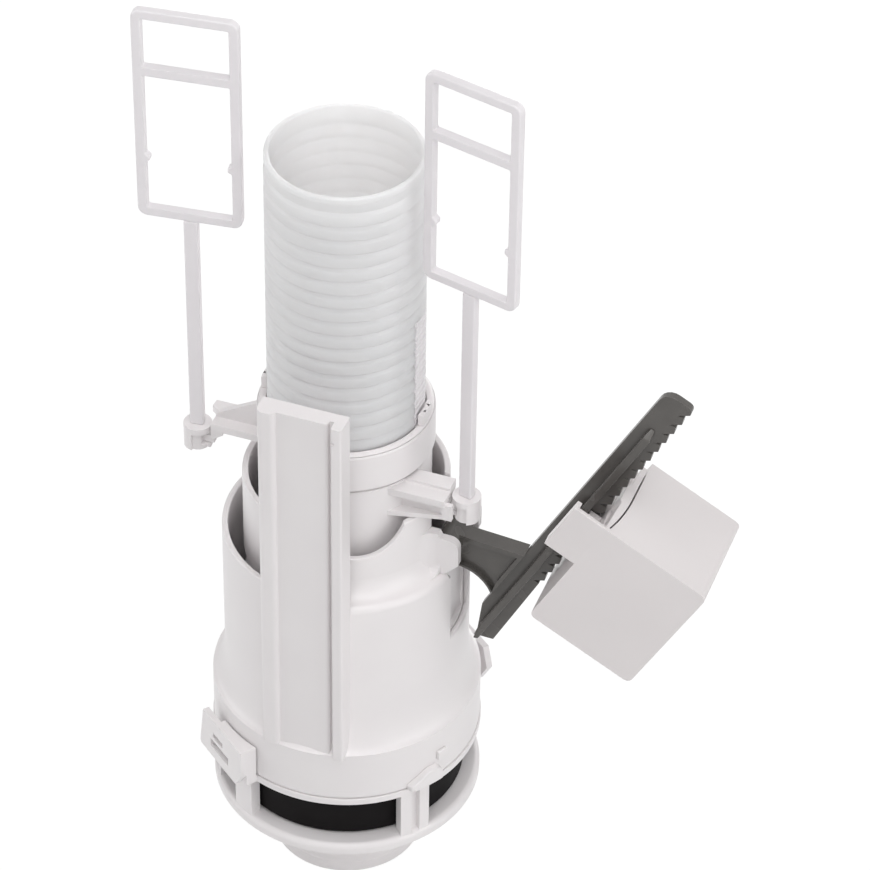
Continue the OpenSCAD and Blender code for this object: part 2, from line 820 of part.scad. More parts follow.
module lock_wedge() {
    half = (skirt_r + wedge_out) * sin(wedge_arc / 2);
    high = skirt_z + wedge_h;
    color(white)
        difference() {
            intersection() {
                ring_part(skirt_r, skirt_r + wedge_out, skirt_z, high, wedge_turn, wedge_turn + wedge_arc);
                rotate([0, 0, wedge_turn + wedge_arc / 2])
                    rotate([90, 0, 90])
                        linear_extrude(over)
                            polygon([[-half - 1, skirt_z - 1], [half + 1, skirt_z - 1],
                                [half + 1, high - wedge_back - 1], [half - wedge_back, high],
                                [half - wedge_back - wedge_flat, high], [-half, skirt_z + wedge_tip],
                                [-half - 1, skirt_z + wedge_tip]]);
            }
            rotate([0, 0, wedge_turn])
                translate([skirt_r + wedge_out * 0.35, 0, 0])
                    rotate([0, 0, 24])
                        translate([0, -over / 2, 0])
                            cube([over, over / 2, over * 2]);
        }
}

module lock_nub() {
    arc_deg = nub_side / skirt_r * 180 / PI;
    color(white)
        ring_part(skirt_r, skirt_r + wedge_out / 2, skirt_z + wedge_h + 1, skirt_z + wedge_h + 1 + nub_side,
            wedge_turn + wedge_arc - 1, wedge_turn + wedge_arc - 1 + arc_deg);
}

// lift sleeve and what rides on it

module lift_sleeve() {
    color(white)
        rotate_extrude()
            polygon([[sleeve_r_in, sleeve_z], [sleeve_r, sleeve_z], [sleeve_r, collar_z - collar_groove_h],
                [sleeve_r - collar_groove_d, collar_z - collar_groove_h],
                [sleeve_r - collar_groove_d, collar_z], [sleeve_r, collar_z], [sleeve_r, sleeve_top],
                [sleeve_r_in, sleeve_top]]);
}

module adjust_collar() {
    color(white)
        rotate_extrude()
            polygon([[sleeve_r, collar_z], [collar_r, collar_z], [collar_r, collar_top - 0.8],
                [collar_r - 0.8, collar_top], [sleeve_r_in, collar_top], [sleeve_r_in, sleeve_top],
                [sleeve_r, sleeve_top]]);
}

// a clip on the collar, which holds the tube's toothed strip
module clip() {
    color(white)
        intersection() {
            ring(collar_r - 0.8 - clip_t, collar_r - 0.8, collar_top, collar_top + clip_h);
            translate([0, -clip_w / 2, 0])
                cube([over, clip_w, collar_top + over]);
        }
}

module clip_right() {
    clip();
}

module clip_left() {
    rotate([0, 0, 180])
        clip();
}

// the swivel at an arm's tip: a flat tongue from the arm's end to the pin in the rod's foot
module swivel_tip(x, foot_top, way) {
    mid = foot_top - cap_t - (foot_h - cap_t) / 2;
    translate([x, -arm_offset, foot_top - foot_h])
        cylinder(r = swivel_pin_r, h = foot_h - cap_t - tongue_play);
    translate([way > 0 ? x - foot_reach - 1 : x, -arm_offset - tongue_w / 2, mid - tongue_t / 2])
        cube([foot_reach + 1, tongue_w, tongue_t]);
}

// full-flush arm: a stepped top plate, a web, a small lug beside the rod's foot and a lower flange
// that runs to a point at the sleeve
module full_arm() {
    end = full_x - foot_reach;
    low = full_top - full_arm_h;
    mid = -arm_offset - full_arm_shift;
    front = mid - arm_w / 2;
    back = mid + arm_w / 2;
    flange_t = arm_t * 0.7;
    color(white) {
        difference() {
            union() {
                translate([0, front, full_top - arm_t])
                    cube([end, arm_w, arm_t]);
                translate([0, mid, full_top])
                    cube([end, arm_w / 2, full_arm_drop / 2]);
                translate([0, mid - arm_web / 2, low])
                    cube([end, arm_web, full_arm_h]);
                translate([0, 0, low])
                    linear_extrude(flange_t)
                        polygon([[0, front - 0.6], [sleeve_r * 0.68, front - 0.6],
                            [end - 1, front + arm_w * 0.38], [end - 1, back - arm_t], [0, back - arm_t]]);
                translate([end - 3, mid - arm_web / 2, low])
                    cube([3, full_arm_shift + arm_web + tongue_w / 2, full_arm_h]);
                translate([end - 1, front + 0.7, full_top - full_arm_h * 0.73])
                    cube([3.2, 1.8, full_arm_h * 0.73 - arm_t + 0.4]);
            }
            cylinder(r = sleeve_r, h = collar_top);
        }
        swivel_tip(full_x, full_foot_top, 1);
    }
}

// half-flush arm: a ledge in front, a web that rises to the collar, a plate behind that ends beside the
// rod, and a lug down to the swivel
module half_arm() {
    end = -half_x + foot_reach;
    mid = -arm_offset + half_arm_shift;
    front = mid - arm_w / 2;
    back = mid + arm_w / 2;
    top = half_z + arm_t;
    lug_low = half_foot_top - foot_h / 2;
    color(white) {
        difference() {
            union() {
                translate([end, front, half_z])
                    cube([-end, mid - front, arm_t]);
                translate([0, 0, half_z + 1])
                    linear_extrude(arm_t)
                        polygon([[0, mid], [end + 1.2, mid], [end - 2.4, mid + arm_w * 0.22], [end - 2.2, back],
                            [0, back]]);
                along_y(mid - arm_web / 2, mid + arm_web / 2)
                    polygon([[end, half_z], [0, half_z], [0, collar_z + half_web_rise],
                        [-sleeve_r * 0.92, collar_z + half_web_rise], [end + 0.9, top + 1.6], [end, top]]);
                along_y(front, mid - arm_web / 2)
                    polygon([[end, half_z + 0.5], [end, lug_low], [end + 1, lug_low], [end + 4, half_z - 1.2],
                        [end + 4, half_z + 0.5]]);
            }
            cylinder(r = collar_r, h = collar_top + over);
        }
        swivel_tip(-half_x, half_foot_top, -1);
    }
}

module seal_carrier() {
    color(black)
        ring(seal_hole_r, seal_r - seal_edge_t, carrier_z, sleeve_z);
}

// the seal: a flat ring over the seat, with an edge that hangs down beside it and turns up outside
module valve_seal() {
    low = floor_t + seal_gap;
    edge_top = carrier_z + seal_edge_h;
    seat_side = spigot_r + seal_seat_gap;
    color(black)
        rotate_extrude()
            polygon([[seal_hole_r, seal_z], [seat_side, seal_z], [seat_side, low], [seal_r - 1, low],
                [seal_r, low + 1], [seal_r, edge_top], [seal_r - seal_edge_t, edge_top],
                [seal_r - seal_edge_t, carrier_z], [seal_hole_r, carrier_z]]);
}

module inner_float() {
    color(white)
        ring(sleeve_r, shell_r_in - float_ring_gap, float_ring_z, float_ring_z + float_ring_h);
}

// overflow tube

function ridge_points(count) =
    [for (i = [0:count - 1]) let (z = tube_top - 2 - i * ridge_pitch)
        each [[tube_r - groove_depth * 0.3, z], [tube_r, z - ridge_pitch + groove_h],
            [tube_r - groove_depth, z - ridge_pitch + groove_h * 0.8],
            [tube_r - groove_depth, z - ridge_pitch]]];

module overflow_tube() {
    count = floor((tube_len - 12) / ridge_pitch);
    color(pearl)
        difference() {
            rotate_extrude()
                polygon(concat(
                    [[tube_r - tube_wall, tube_top], [tube_r - groove_depth * 0.3, tube_top]],
                    ridge_points(count),
                    [[tube_r, tube_top - 2 - count * ridge_pitch], [tube_r, tube_z],
                        [tube_r - tube_wall, tube_z]]));
            for (side = [0, 180])
                rotate([0, 0, side])
                    translate([tube_r - strip_depth, -strip_w / 2, tube_z + 6])
                        cube([strip_depth + 2, strip_w, strip_top - tube_z - 6]);
        }
}

// a flat strip with small teeth, let into the side of the tube
module strip() {
    count = floor((strip_top - tube_z - 6) / strip_pitch);
    color(pearl)
        along_y(-strip_w / 2, strip_w / 2)
            polygon(concat(
                [[tube_r - strip_depth, tube_z + 6]],
                [for (i = [0:count - 1]) let (z = tube_z + 6 + i * strip_pitch)
                    each [[tube_r - 0.75, z], [tube_r - 0.42, z + strip_pitch * 0.6],
                        [tube_r - 0.75, z + strip_pitch * 0.75]]],
                [[tube_r - 0.75, strip_top], [tube_r - strip_depth, strip_top]]));
}

module strip_right() {
    strip();
}

module strip_left() {
    rotate([0, 0, 180])
        strip();
}

// pull rods

// a rod's foot: a cap that turns on the arm's pin, slotted for the arm's tongue
module foot(x, foot_top, arm_way, step_from, step_to) {
    mid = foot_top - cap_t - (foot_h - cap_t) / 2;
    translate([x, -arm_offset, 0])
        color(white)
            difference() {
                translate([0, 0, foot_top - foot_h])
                    cylinder(r = foot_r, h = foot_h);
                translate([0, 0, foot_top - foot_h - 1])
                    cylinder(r = swivel_pin_r + pin_play, h = foot_h - cap_t + 1);
                ring_part(swivel_pin_r, foot_r + 2, mid - tongue_t / 2 - tongue_play,
                    mid + tongue_t / 2 + tongue_play, arm_way - swivel_room, arm_way + swivel_room);
                ring_part(foot_r - foot_step, foot_r + 2, foot_top - foot_h - 1, foot_top - foot_band,
                    step_from, step_to);
            }
}

// a flat rod up from the foot
module rod(x, foot_top, turn) {
    translate([x, -arm_offset, foot_top])
        rotate([0, 0, turn])
            color(pearl)
                translate([-rod_w / 2, -rod_t / 2, 0])
                    cube([rod_w, rod_t, rod_len]);
}

// a frame with a crossbar and two small nubs inside
module frame(x, foot_top, turn) {
    half = frame_w / 2;
    inner = half - frame_bar;
    nub = inner - nub_out;
    nub_high = nub_rise + nub_h;
    bar_low = frame_h - crossbar_drop - frame_bar / 2;
    bar_high = frame_h - crossbar_drop + frame_bar / 2;
    translate([x, -arm_offset, foot_top + rod_len])
        rotate([0, 0, turn])
            color(pearl)
                along_y(-rod_t / 2, rod_t / 2)
                    difference() {
                        polygon(round_rect(-half, 0, half, frame_h, frame_r));
                        polygon([[-inner, frame_bar], [inner, frame_bar], [inner, nub_rise - nub_slope],
                            [nub, nub_rise], [nub, nub_high], [inner, nub_high + nub_slope], [inner, bar_low],
                            [-inner, bar_low], [-inner, nub_high + nub_slope], [-nub, nub_high],
                            [-nub, nub_rise], [-inner, nub_rise - nub_slope]]);
                        polygon([[-inner, bar_high], [inner, bar_high], [inner, frame_h - frame_bar],
                            [-inner, frame_h - frame_bar]]);
                    }
}

module full_foot() {
    foot(full_x, full_foot_top, 180, full_step_from, full_step_to);
}

module full_rod() {
    rod(full_x, full_foot_top, full_turn);
}

module full_frame() {
    frame(full_x, full_foot_top, full_turn);
}

module half_foot() {
    foot(-half_x, half_foot_top, 0, half_step_from, half_step_to);
}

module half_rod() {
    rod(-half_x, half_foot_top, half_turn);
}

module half_frame() {
    frame(-half_x, half_foot_top, half_turn);
}

// float lever

// outline of the lever's neck from the barrel to the bar, drawn in by a rim's width
module neck_outline(rim) {
    polygon(concat(
        [[rack_in - rim * 0.6, neck_join_up - rim * 1.2], [barrel_r + 1.3, barrel_r + 1.5 - rim],
            [0, barrel_r * 0.9 - rim], [0, -barrel_r * 0.7 + rim * 0.5]],
        arc(rack_in - neck_sweep_r * 0.68, -neck_join_down - neck_sweep_r * 0.93 + rim * 0.4, neck_sweep_r,
            neck_sweep_from, neck_sweep_to, 7),
        [[rack_in - rim * 0.6, -neck_join_down + rim * 1.4]]));
}

module lever_neck() {
    half = neck_plate_t / 2;
    color(dark)
        difference() {
            union() {
                at_lever() {
                    along_y(-half, half)
                        neck_outline(0);
                }
                pin_y(pivot_x, pivot_z, barrel_r, -barrel_len / 2, barrel_len / 2);
                pin_y(pivot_x, pivot_z, pivot_pin_r, -pin_end, pin_end);
            }
            at_lever()
                for (way = [-1, 1])
                    scale([1, way, 1])
                        intersection() {
                            along_y(neck_web / 2, over)
                                neck_outline(neck_rim);
                            translate([barrel_r + 1, 0, -over])
                                cube([over, over, 2 * over]);
                        }
        }
}

// ratchet teeth along the bar's edge: each has a slanted underside, and the next one a level top
function rack_teeth(count) =
    [for (i = [0:count - 1]) let (v = rack_up - rack_nose_r - 0.4 - i * tooth_pitch)
        each [[rack_edge, v], [rack_edge - tooth_depth, v - tooth_pitch * 0.54],
            [rack_edge - 0.8, v - tooth_pitch * 0.5]]];

module lever_rack() {
    count = floor((rack_up - box_rise + 6) / tooth_pitch);
    color(dark)
        at_lever()
            along_y(-rack_t / 2, rack_t / 2)
                polygon(concat(
                    arc(rack_in + rack_round, rack_up - rack_round, rack_round, 180, 90, 5),
                    arc(rack_edge - rack_nose_r, rack_up - rack_nose_r, rack_nose_r, 90, 0, 4),
                    rack_teeth(count),
                    [[rack_edge, rack_toe - rack_down], [rack_in + rack_cut_w + rack_lip_w, -rack_down],
                        [rack_in + rack_cut_w, rack_lip - rack_down], [rack_in, rack_cut - rack_down]]));
}

// the rib along one face of the bar, with a ramp at its top and a slanted foot
module rib(way) {
    left = rack_in + rib_in;
    face = rack_t / 2;
    tip = rack_up - rib_drop;
    color(dark)
        at_lever()
            scale([1, way, 1])
                intersection() {
                    translate([left, 0, 0])
                        rotate([90, 0, 90])
                            linear_extrude(rib_w)
                                polygon([[face, -rack_down], [face + rib_h, -rack_down],
                                    [face + rib_h, tip - rib_ramp], [face, tip]]);
                    along_y(0, over)
                        polygon([[left + rib_w * 0.2, tip], [left, tip - rib_ramp], [left, 8 - rack_down],
                            [left + 1.2, 1 - rack_down], [left + rib_w, 2 - rack_down],
                            [left + rib_w, tip - rib_ramp], [left + rib_w * 0.7, tip]]);
                }
}

module rack_rib_front() {
    rib(-1);
}

module rack_rib_back() {
    rib(1);
}

// float box

// an upturned box, open below, with a pocket for the latch in the top of its inner wall
module float_box() {
    half = box_w / 2;
    inside = box_in + box_wall;
    outside = box_in + box_u - box_wall;
    pocket_z = box_top - latch_h - pocket_room;
    step = box_in + pocket_d + box_wall;
    front = -half + box_wall;
    color(white)
        at_lever()
            difference() {
                along_y(-half, half)
                    polygon(concat(
                        arc(box_in + box_u - box_r, box_rise + box_r, box_r, -90, 0, 6),
                        arc(box_in + box_u - box_r, box_top - box_r, box_r, 0, 90, 6),
                        [[box_in, box_top]],
                        arc(box_in + box_r, box_rise + box_r, box_r, 180, 270, 6)));
                along_y(-half + box_wall, half - box_wall)
                    polygon([[inside, box_rise - 1], [outside, box_rise - 1], [outside, box_top - box_wall],
                        [step, box_top - box_wall], [step, pocket_z - box_wall],
                        [inside, pocket_z - box_wall]]);
                translate([0, 0, pocket_z])
                    linear_extrude(latch_h + 1 + pocket_room)
                        polygon(concat(
                            [[box_in - 1, front]],
                            arc(box_in + pocket_d - pocket_r, 0, pocket_r, asin(front / pocket_r), 0, 6),
                            [[box_in + pocket_d, half + 1], [box_in - 1, half + 1]]));
            }
}

// a wing that carries the box's front wall past the bar, with a lip at its end
module box_wing() {
    front = -box_w / 2;
    far = rack_in - wing_past;
    low = box_top - wing_h;
    color(white)
        at_lever() {
            along_y(front, front + box_wall)
                polygon([[far, low], [box_in, low], [box_in, box_top], [far, box_top]]);
            along_y(front, front + wing_lip)
                polygon([[far, low], [far + box_wall, low], [far + box_wall, box_top], [far, box_top]]);
        }
}

// a guide on the box's inner wall that hooks over the rib on one face of the bar
module guide(way) {
    rib_0 = rack_in + rib_in - slide_gap;
    rib_1 = rack_in + rib_in + rib_w + slide_gap;
    near = rack_t / 2 + slide_gap;
    far = rack_t / 2 + rib_h + slide_gap;
    color(white)
        at_lever()
            translate([0, 0, box_rise + guide_rise])
                linear_extrude(guide_h)
                    scale([1, way])
                        polygon([[box_in, near], [rib_1, near], [rib_1, far], [rib_0, far], [rib_0, near],
                            [rib_0 - guide_t, near], [rib_0 - guide_t, far + guide_t],
                            [box_in, far + guide_t]]);
}

module guide_front() {
    guide(-1);
}

module guide_back() {
    guide(1);
}

// the latch: a springy leaf from the wing across the bar's teeth to a free end, with a pawl in its middle
module box_latch() {
    root = -box_w / 2 + box_wall;
    tip = box_w / 2 - latch_in;
    lean = latch_lean / (tip - root);
    pawl = rack_edge + pawl_play;
    back_r = pocket_r - latch_gap;
    color(white)
        at_lever()
            translate([0, 0, box_top - latch_h])
                linear_extrude(latch_h)
                    polygon(concat(
                        [[box_in, root], [box_in + lean * (-pawl_half - 1 - root), -pawl_half - 1],
                            [pawl, -pawl_half], [pawl, pawl_half],
                            [box_in + lean * (pawl_half + 1.5 - root), pawl_half + 1.5],
                            [box_in + latch_lean, tip], [box_in + pocket_d - latch_gap, tip]],
                        arc(box_in + pocket_d - pocket_r, 0, back_r, 0, asin(root / back_r), 6)));
}

outlet_base();
bracket_left();
bracket_right();
body_skirt();
body_flare();
body_shell();
lever_recess();
shoulder_front();
shoulder_back();
inner_neck();
guide_column();
ear_front();
ear_back();
lock_wedge();
lock_nub();
lift_sleeve();
adjust_collar();
clip_right();
clip_left();
full_arm();
half_arm();
seal_carrier();
valve_seal();
inner_float();
overflow_tube();
strip_right();
strip_left();
full_foot();
full_rod();
full_frame();
half_foot();
half_rod();
half_frame();
lever_neck();
lever_rack();
rack_rib_front();
rack_rib_back();
float_box();
box_wing();
guide_front();
guide_back();
box_latch();
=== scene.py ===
"""Cistern flush valve: moulded edges, ridges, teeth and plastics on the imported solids."""

import json
import math

import bmesh
import bpy
from mathutils import Matrix, Vector


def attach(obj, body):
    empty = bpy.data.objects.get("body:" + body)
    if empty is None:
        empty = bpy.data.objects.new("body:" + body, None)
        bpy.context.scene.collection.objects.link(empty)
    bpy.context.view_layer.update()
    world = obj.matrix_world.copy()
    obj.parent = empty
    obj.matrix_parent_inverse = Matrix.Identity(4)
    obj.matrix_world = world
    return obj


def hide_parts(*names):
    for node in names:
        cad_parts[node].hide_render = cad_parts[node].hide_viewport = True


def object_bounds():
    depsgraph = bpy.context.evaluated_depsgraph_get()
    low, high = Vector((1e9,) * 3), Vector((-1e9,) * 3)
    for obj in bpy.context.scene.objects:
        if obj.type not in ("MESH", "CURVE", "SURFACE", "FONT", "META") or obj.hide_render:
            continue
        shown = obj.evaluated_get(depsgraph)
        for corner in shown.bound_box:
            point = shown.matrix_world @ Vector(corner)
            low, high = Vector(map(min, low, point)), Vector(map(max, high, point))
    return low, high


MM = 0.001

# sizes that the part's source also has, in millimetres
TUBE_R = 25.0
TUBE_WALL = 1.9
TUBE_TOP = 256.3
TUBE_FOOT = 106.3
RIDGE_PITCH = 5.2
GROOVE_H = 1.1
GROOVE_DEPTH = 0.6
STRIP_W = 8.4
STRIP_TOP = 202.3
STRIP_FOOT = 112.3
STRIP_PITCH = 2.6
SPIGOT_R = 25.2
NECK_R = 33.35
SKIRT_R = 44.45
FLARE_Z = 45.0
FLARE_H = 13.0
FLARE_TOP = 58.01
SHELL_R = 40.25
SHELL_WALL = 2.0
SHELL_TOP = 109.0
ROOF_Z = 105.8
ROOF_T = 2.0
ROOF_ROUND = 2.4
ROOF_HALF_ARC = 73.0
SLOT_HALF = 8.4
PIVOT = (36.65, 0.0, 113.5)
LEVER_LEAN_DEG = 28.5
BOX_IN = 32.3
WING_LOW = 37.3
BOX_TOP = 57.3

# the tube's trim, in millimetres: the rim, the faint rings inside and the form of one ridge
RIM_H = 2.0
RIM_INSET = 0.2
RIM_ROUND = 0.6
RIM_SLOPE_H = 0.6
INNER_RING_H = 1.0
INNER_RING_DEPTH = 0.12
INNER_RING_FROM = 2.0
INNER_RING_CLEAR = 4.0
RIDGE_ROOT = 0.3
RIDGE_INSET = 0.03
RIDGE_FOOT_IN = 0.25
RIDGE_FOOT_ROUND = 0.22
RIDGE_FOOT_DEG = 60
RIDGE_SLOPE_H = 1.3
RIDGE_SLOPE_PAST = 0.7
RIDGE_BREAK_IN = 0.14
RIDGE_BREAK_H = 0.25
STRIP_GAP_DEG = 0.4

# one tooth of a strip, in millimetres: depths below the tube's face, then heights above the tooth's foot
TOOTH_BACK_IN = 1.3
TOOTH_ROOT_IN = 0.5
TOOTH_TIP_IN = 0.1
TOOTH_FLAT_FROM = 0.2
TOOTH_FLAT_TO = 1.5
TOOTH_TOP = 1.8

# the hollow between the shoulder and the neck, and the spigot's thread rings, in millimetres
HOLLOW_H = 8.0
HOLLOW_INTO_NECK = 0.15
HOLLOW_STEP_DEG = 9
THREAD_COUNT = 8
THREAD_FOOT = -24.5
THREAD_PITCH = 2.9
THREAD_H = 1.4
THREAD_DEPTH = 0.3
THREAD_SLOPE_H = 0.5

# steps of turned pieces, for a whole turn, half a ridge and one side of the shoulder, and of their roundings
WHOLE_STEPS = 160
HALF_STEPS = 70
SHOULDER_STEPS = 60
RIM_STEPS = 4
RIDGE_FOOT_STEPS = 3
EDGE_STEPS = 8

# rounded edges: the angle that counts as a corner, the angle that still shades smooth, the steps of a
# rounding, and the wider rounding at the shell's recess, which lies past RECESS_X
CORNER_DEG = 34.0
SMOOTH_DEG = 32.0
EDGE_SEGMENTS = 3
RECESS_X = 30.0
RECESS_ROUND = 0.9

# how far apart points still count as touching, in millimetres
SAME_POINT = 0.002
LEVEL_TOUCH = 0.02
RING_TOUCH = 0.06
COLUMN_TOUCH = 0.25
WING_TOUCH = 0.05
RECESS_TOUCH = 0.1

# the photograph's camera: turn, height and roll of the view in degrees, and its distances in millimetres
VIEW_TURN = 19.5
VIEW_HEIGHT = 40.246
VIEW_ROLL = 0.824
VIEW_FOCAL_PX = 4336.4
VIEW_DISTANCE = 1373.04
VIEW_RIGHT = -28.07
VIEW_UP = 4.52
VIEW_TARGET_Z = 150.0
PICTURE_PX = 870.0
SENSOR_W = 36.0
NEAREST_M = 0.05

# the stage: sizes in metres, and light strengths where 1 is white
FLOOR_HALF_M = 6.0
FLOOR_DROP_M = 0.0005
FLOOR_GLOW = 1.06
FLOOR_GLOW_SHARE = 0.9
TENT_LIGHT = 0.165
TENT_TINT = (1.0, 0.99, 0.99, 1.0)

# softboxes: place, aim and side in metres, and power in watts
SOFTBOXES = {
    "key_softbox": ((0.15, -0.32, 1.3), (0, 0, 0.14), 1.0, 6.9),
    "front_softbox": ((0.34, -0.96, 1.02), (0, 0, 0.14), 0.7, 3.9),
    "back_softbox": ((-0.1, 1.1, 0.22), (0, 0, 0.2), 0.8, 9.0),
    "left_softbox": ((-1.2, -0.3, 0.5), (0, 0, 0.12), 0.9, 5.2),
    "right_softbox": ((1.2, -0.3, 0.5), (0, 0, 0.12), 0.9, 5.2),
}

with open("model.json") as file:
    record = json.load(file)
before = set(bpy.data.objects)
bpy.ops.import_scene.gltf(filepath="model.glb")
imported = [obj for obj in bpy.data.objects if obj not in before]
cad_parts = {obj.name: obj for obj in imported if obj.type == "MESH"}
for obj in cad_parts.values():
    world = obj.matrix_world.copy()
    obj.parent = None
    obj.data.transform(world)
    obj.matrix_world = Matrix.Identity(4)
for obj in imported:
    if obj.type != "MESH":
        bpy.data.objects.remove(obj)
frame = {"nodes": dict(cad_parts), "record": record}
cad_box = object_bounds()
node_of = frame["nodes"]
slot_of = {s["node"]: s["material_slot"] for s in frame["record"]["subparts"]}


# materials

# light that has gone through a thin white wall is a little warm
GLOW_TINT = (1.0, 0.97, 0.95)


def linear(hex_colour):
    """An sRGB hex colour as linear RGBA."""
    out = []
    for i in (0, 2, 4):
        v = int(hex_colour[i : i + 2], 16) / 255
        out.append(v / 12.92 if v <= 0.04045 else ((v + 0.055) / 1.055) ** 2.4)
    return (*out, 1.0)


def add(tree, kind, values=None, links=None, **settings):
    """A new node with its settings, socket values and incoming links."""
    made = tree.nodes.new(kind)
    for key, value in settings.items():
        setattr(made, key, value)
    for socket, value in (values or {}).items():
        made.inputs[socket].default_value = value
    for socket, (source, output) in (links or {}).items():
        tree.links.new(source.outputs[output], made.inputs[socket])
    return made


def moulded(name, pale, deep, rough, rough_spread, flow_mm, grain_mm, grain_depth_mm, ior,
            gloss=0.5, glow=0.0, glow_mm=1.0):
    """A moulded piece: melt flow clouds the colour a little, and the mould's texture gives a fine grain.

    gloss is the shader's specular level. glow is the share of light that spreads inside the plastic, by
    about glow_mm.
    """
    mat = bpy.data.materials.new(name)
    mat.use_nodes = True
    tree = mat.node_tree
    tree.nodes.clear()
    place = add(tree, "ShaderNodeTexCoord")
    flow = add(tree, "ShaderNodeTexNoise",
               {"Scale": 1 / (flow_mm * MM), "Detail": 1.0, "Roughness": 0.4}, {"Vector": (place, "Object")})
    tint = add(tree, "ShaderNodeMix", {6: linear(deep), 7: linear(pale)}, {0: (flow, "Fac")}, data_type="RGBA")
    smear = add(tree, "ShaderNodeMapRange",
                {"From Min": 0.2, "From Max": 0.8,
                 "To Min": rough - rough_spread, "To Max": rough + rough_spread},
                {"Value": (flow, "Fac")})
    grain = add(tree, "ShaderNodeTexNoise",
                {"Scale": 1 / (grain_mm * MM), "Detail": 2.0, "Roughness": 0.6}, {"Vector": (place, "Object")})
    bump = add(tree, "ShaderNodeBump",
               {"Strength": 0.2, "Distance": grain_depth_mm * MM}, {"Height": (grain, "Fac")})
    shader = add(tree, "ShaderNodeBsdfPrincipled",
                 {"IOR": ior, "Specular IOR Level": gloss, "Subsurface Weight": glow,
                  "Subsurface Radius": GLOW_TINT, "Subsurface Scale": glow_mm * MM},
                 {"Base Color": (tint, 2), "Roughness": (smear, "Result"), "Normal": (bump, "Normal")})
    add(tree, "ShaderNodeOutputMaterial", None, {"Surface": (shader, "BSDF")})
    return mat


# white ABS, injection moulded: satin, with a trace of warm grey in the flow; its real grain of about 0.1 mm
# is drawn at 0.7 mm so that it shows
WHITE_ABS = moulded("white_abs_moulded", "edeaea", "e7e3e4", rough=0.36, rough_spread=0.03,
                    flow_mm=22.0, grain_mm=0.7, grain_depth_mm=0.02, ior=1.53)
# white polystyrene, injection moulded: the float box, a shade greyer and smoother than the ABS
WHITE_PS = moulded("white_polystyrene_moulded", "e6e1e1", "e0dbdb", rough=0.32, rough_spread=0.03,
                   flow_mm=24.0, grain_mm=0.7, grain_depth_mm=0.015, ior=1.59)
# white polypropylene, injection moulded: a little brighter and smoother than the ABS, as the rods and
# frames are
PALE_PP = moulded("pale_polypropylene_moulded", "efecee", "e9e5e8", rough=0.33, rough_spread=0.03,
                  flow_mm=26.0, grain_mm=0.8, grain_depth_mm=0.015, ior=1.49)
# natural polypropylene, thin and translucent, as the tube is: its wall glows with the light behind it
CLEAR_PP = moulded("natural_polypropylene_tube", "fcf9fa", "f8f5f6", rough=0.33, rough_spread=0.03,
                   flow_mm=26.0, grain_mm=0.8, grain_depth_mm=0.015, ior=1.49, glow=1.0, glow_mm=9.0)
# acetal, filled dark grey and moulded: glossier, with clouded flow marks along it
GREY_ACETAL = moulded("grey_acetal_moulded", "5f5c59", "504d4a", rough=0.25, rough_spread=0.05,
                      flow_mm=9.0, grain_mm=0.6, grain_depth_mm=0.02, ior=1.48)
# EPDM rubber, compression moulded: matt black with a fine bloom
BLACK_EPDM = moulded("black_epdm_rubber", "0d0a0b", "080607", rough=0.66, rough_spread=0.06,
                     flow_mm=6.0, grain_mm=0.5, grain_depth_mm=0.04, ior=1.5, gloss=0.12)
# black polypropylene, moulded: matt
BLACK_PP = moulded("black_polypropylene_moulded", "121112", "0c0b0c", rough=0.55, rough_spread=0.05,
                   flow_mm=8.0, grain_mm=0.6, grain_depth_mm=0.02, ior=1.49, gloss=0.25)


# meshes


def finish_piece(obj, body, material, nodes=(), smooth_deg=SMOOTH_DEG):
    mesh = obj.data
    mesh.materials.clear()
    mesh.materials.append(material)
    for face in mesh.polygons:
        face.material_index = 0
    if smooth_deg is not None:
        for face in mesh.polygons:
            face.use_smooth = True
        mesh.set_sharp_from_angle(angle=math.radians(smooth_deg))
    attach(obj, body)
    if nodes:
        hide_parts(*nodes)


def piece_from(bm, name):
    """A new object at the origin from a bmesh."""
    mesh = bpy.data.meshes.new(name)
    bm.to_mesh(mesh)
    bm.free()
    obj = bpy.data.objects.new(name, mesh)
    bpy.context.scene.collection.objects.link(obj)
    return obj


def make_plain(obj):
    """Makes obj's modifiers part of a plain mesh."""
    bpy.context.view_layer.update()
    shape = bpy.data.meshes.new_from_object(obj.evaluated_get(bpy.context.evaluated_depsgraph_get()))
    obj.modifiers.clear()
    old = obj.data
    obj.data = shape
    bpy.data.meshes.remove(old)
    shape.name = obj.name


def merge(obj, *others):
    """Makes obj and the other pieces one closed skin."""
    for other in others:
        join = obj.modifiers.new("join", "BOOLEAN")
        join.operation = "UNION"
        join.solver = "EXACT"
        join.object = other
    make_plain(obj)
    for other in others:
        bpy.data.objects.remove(other)


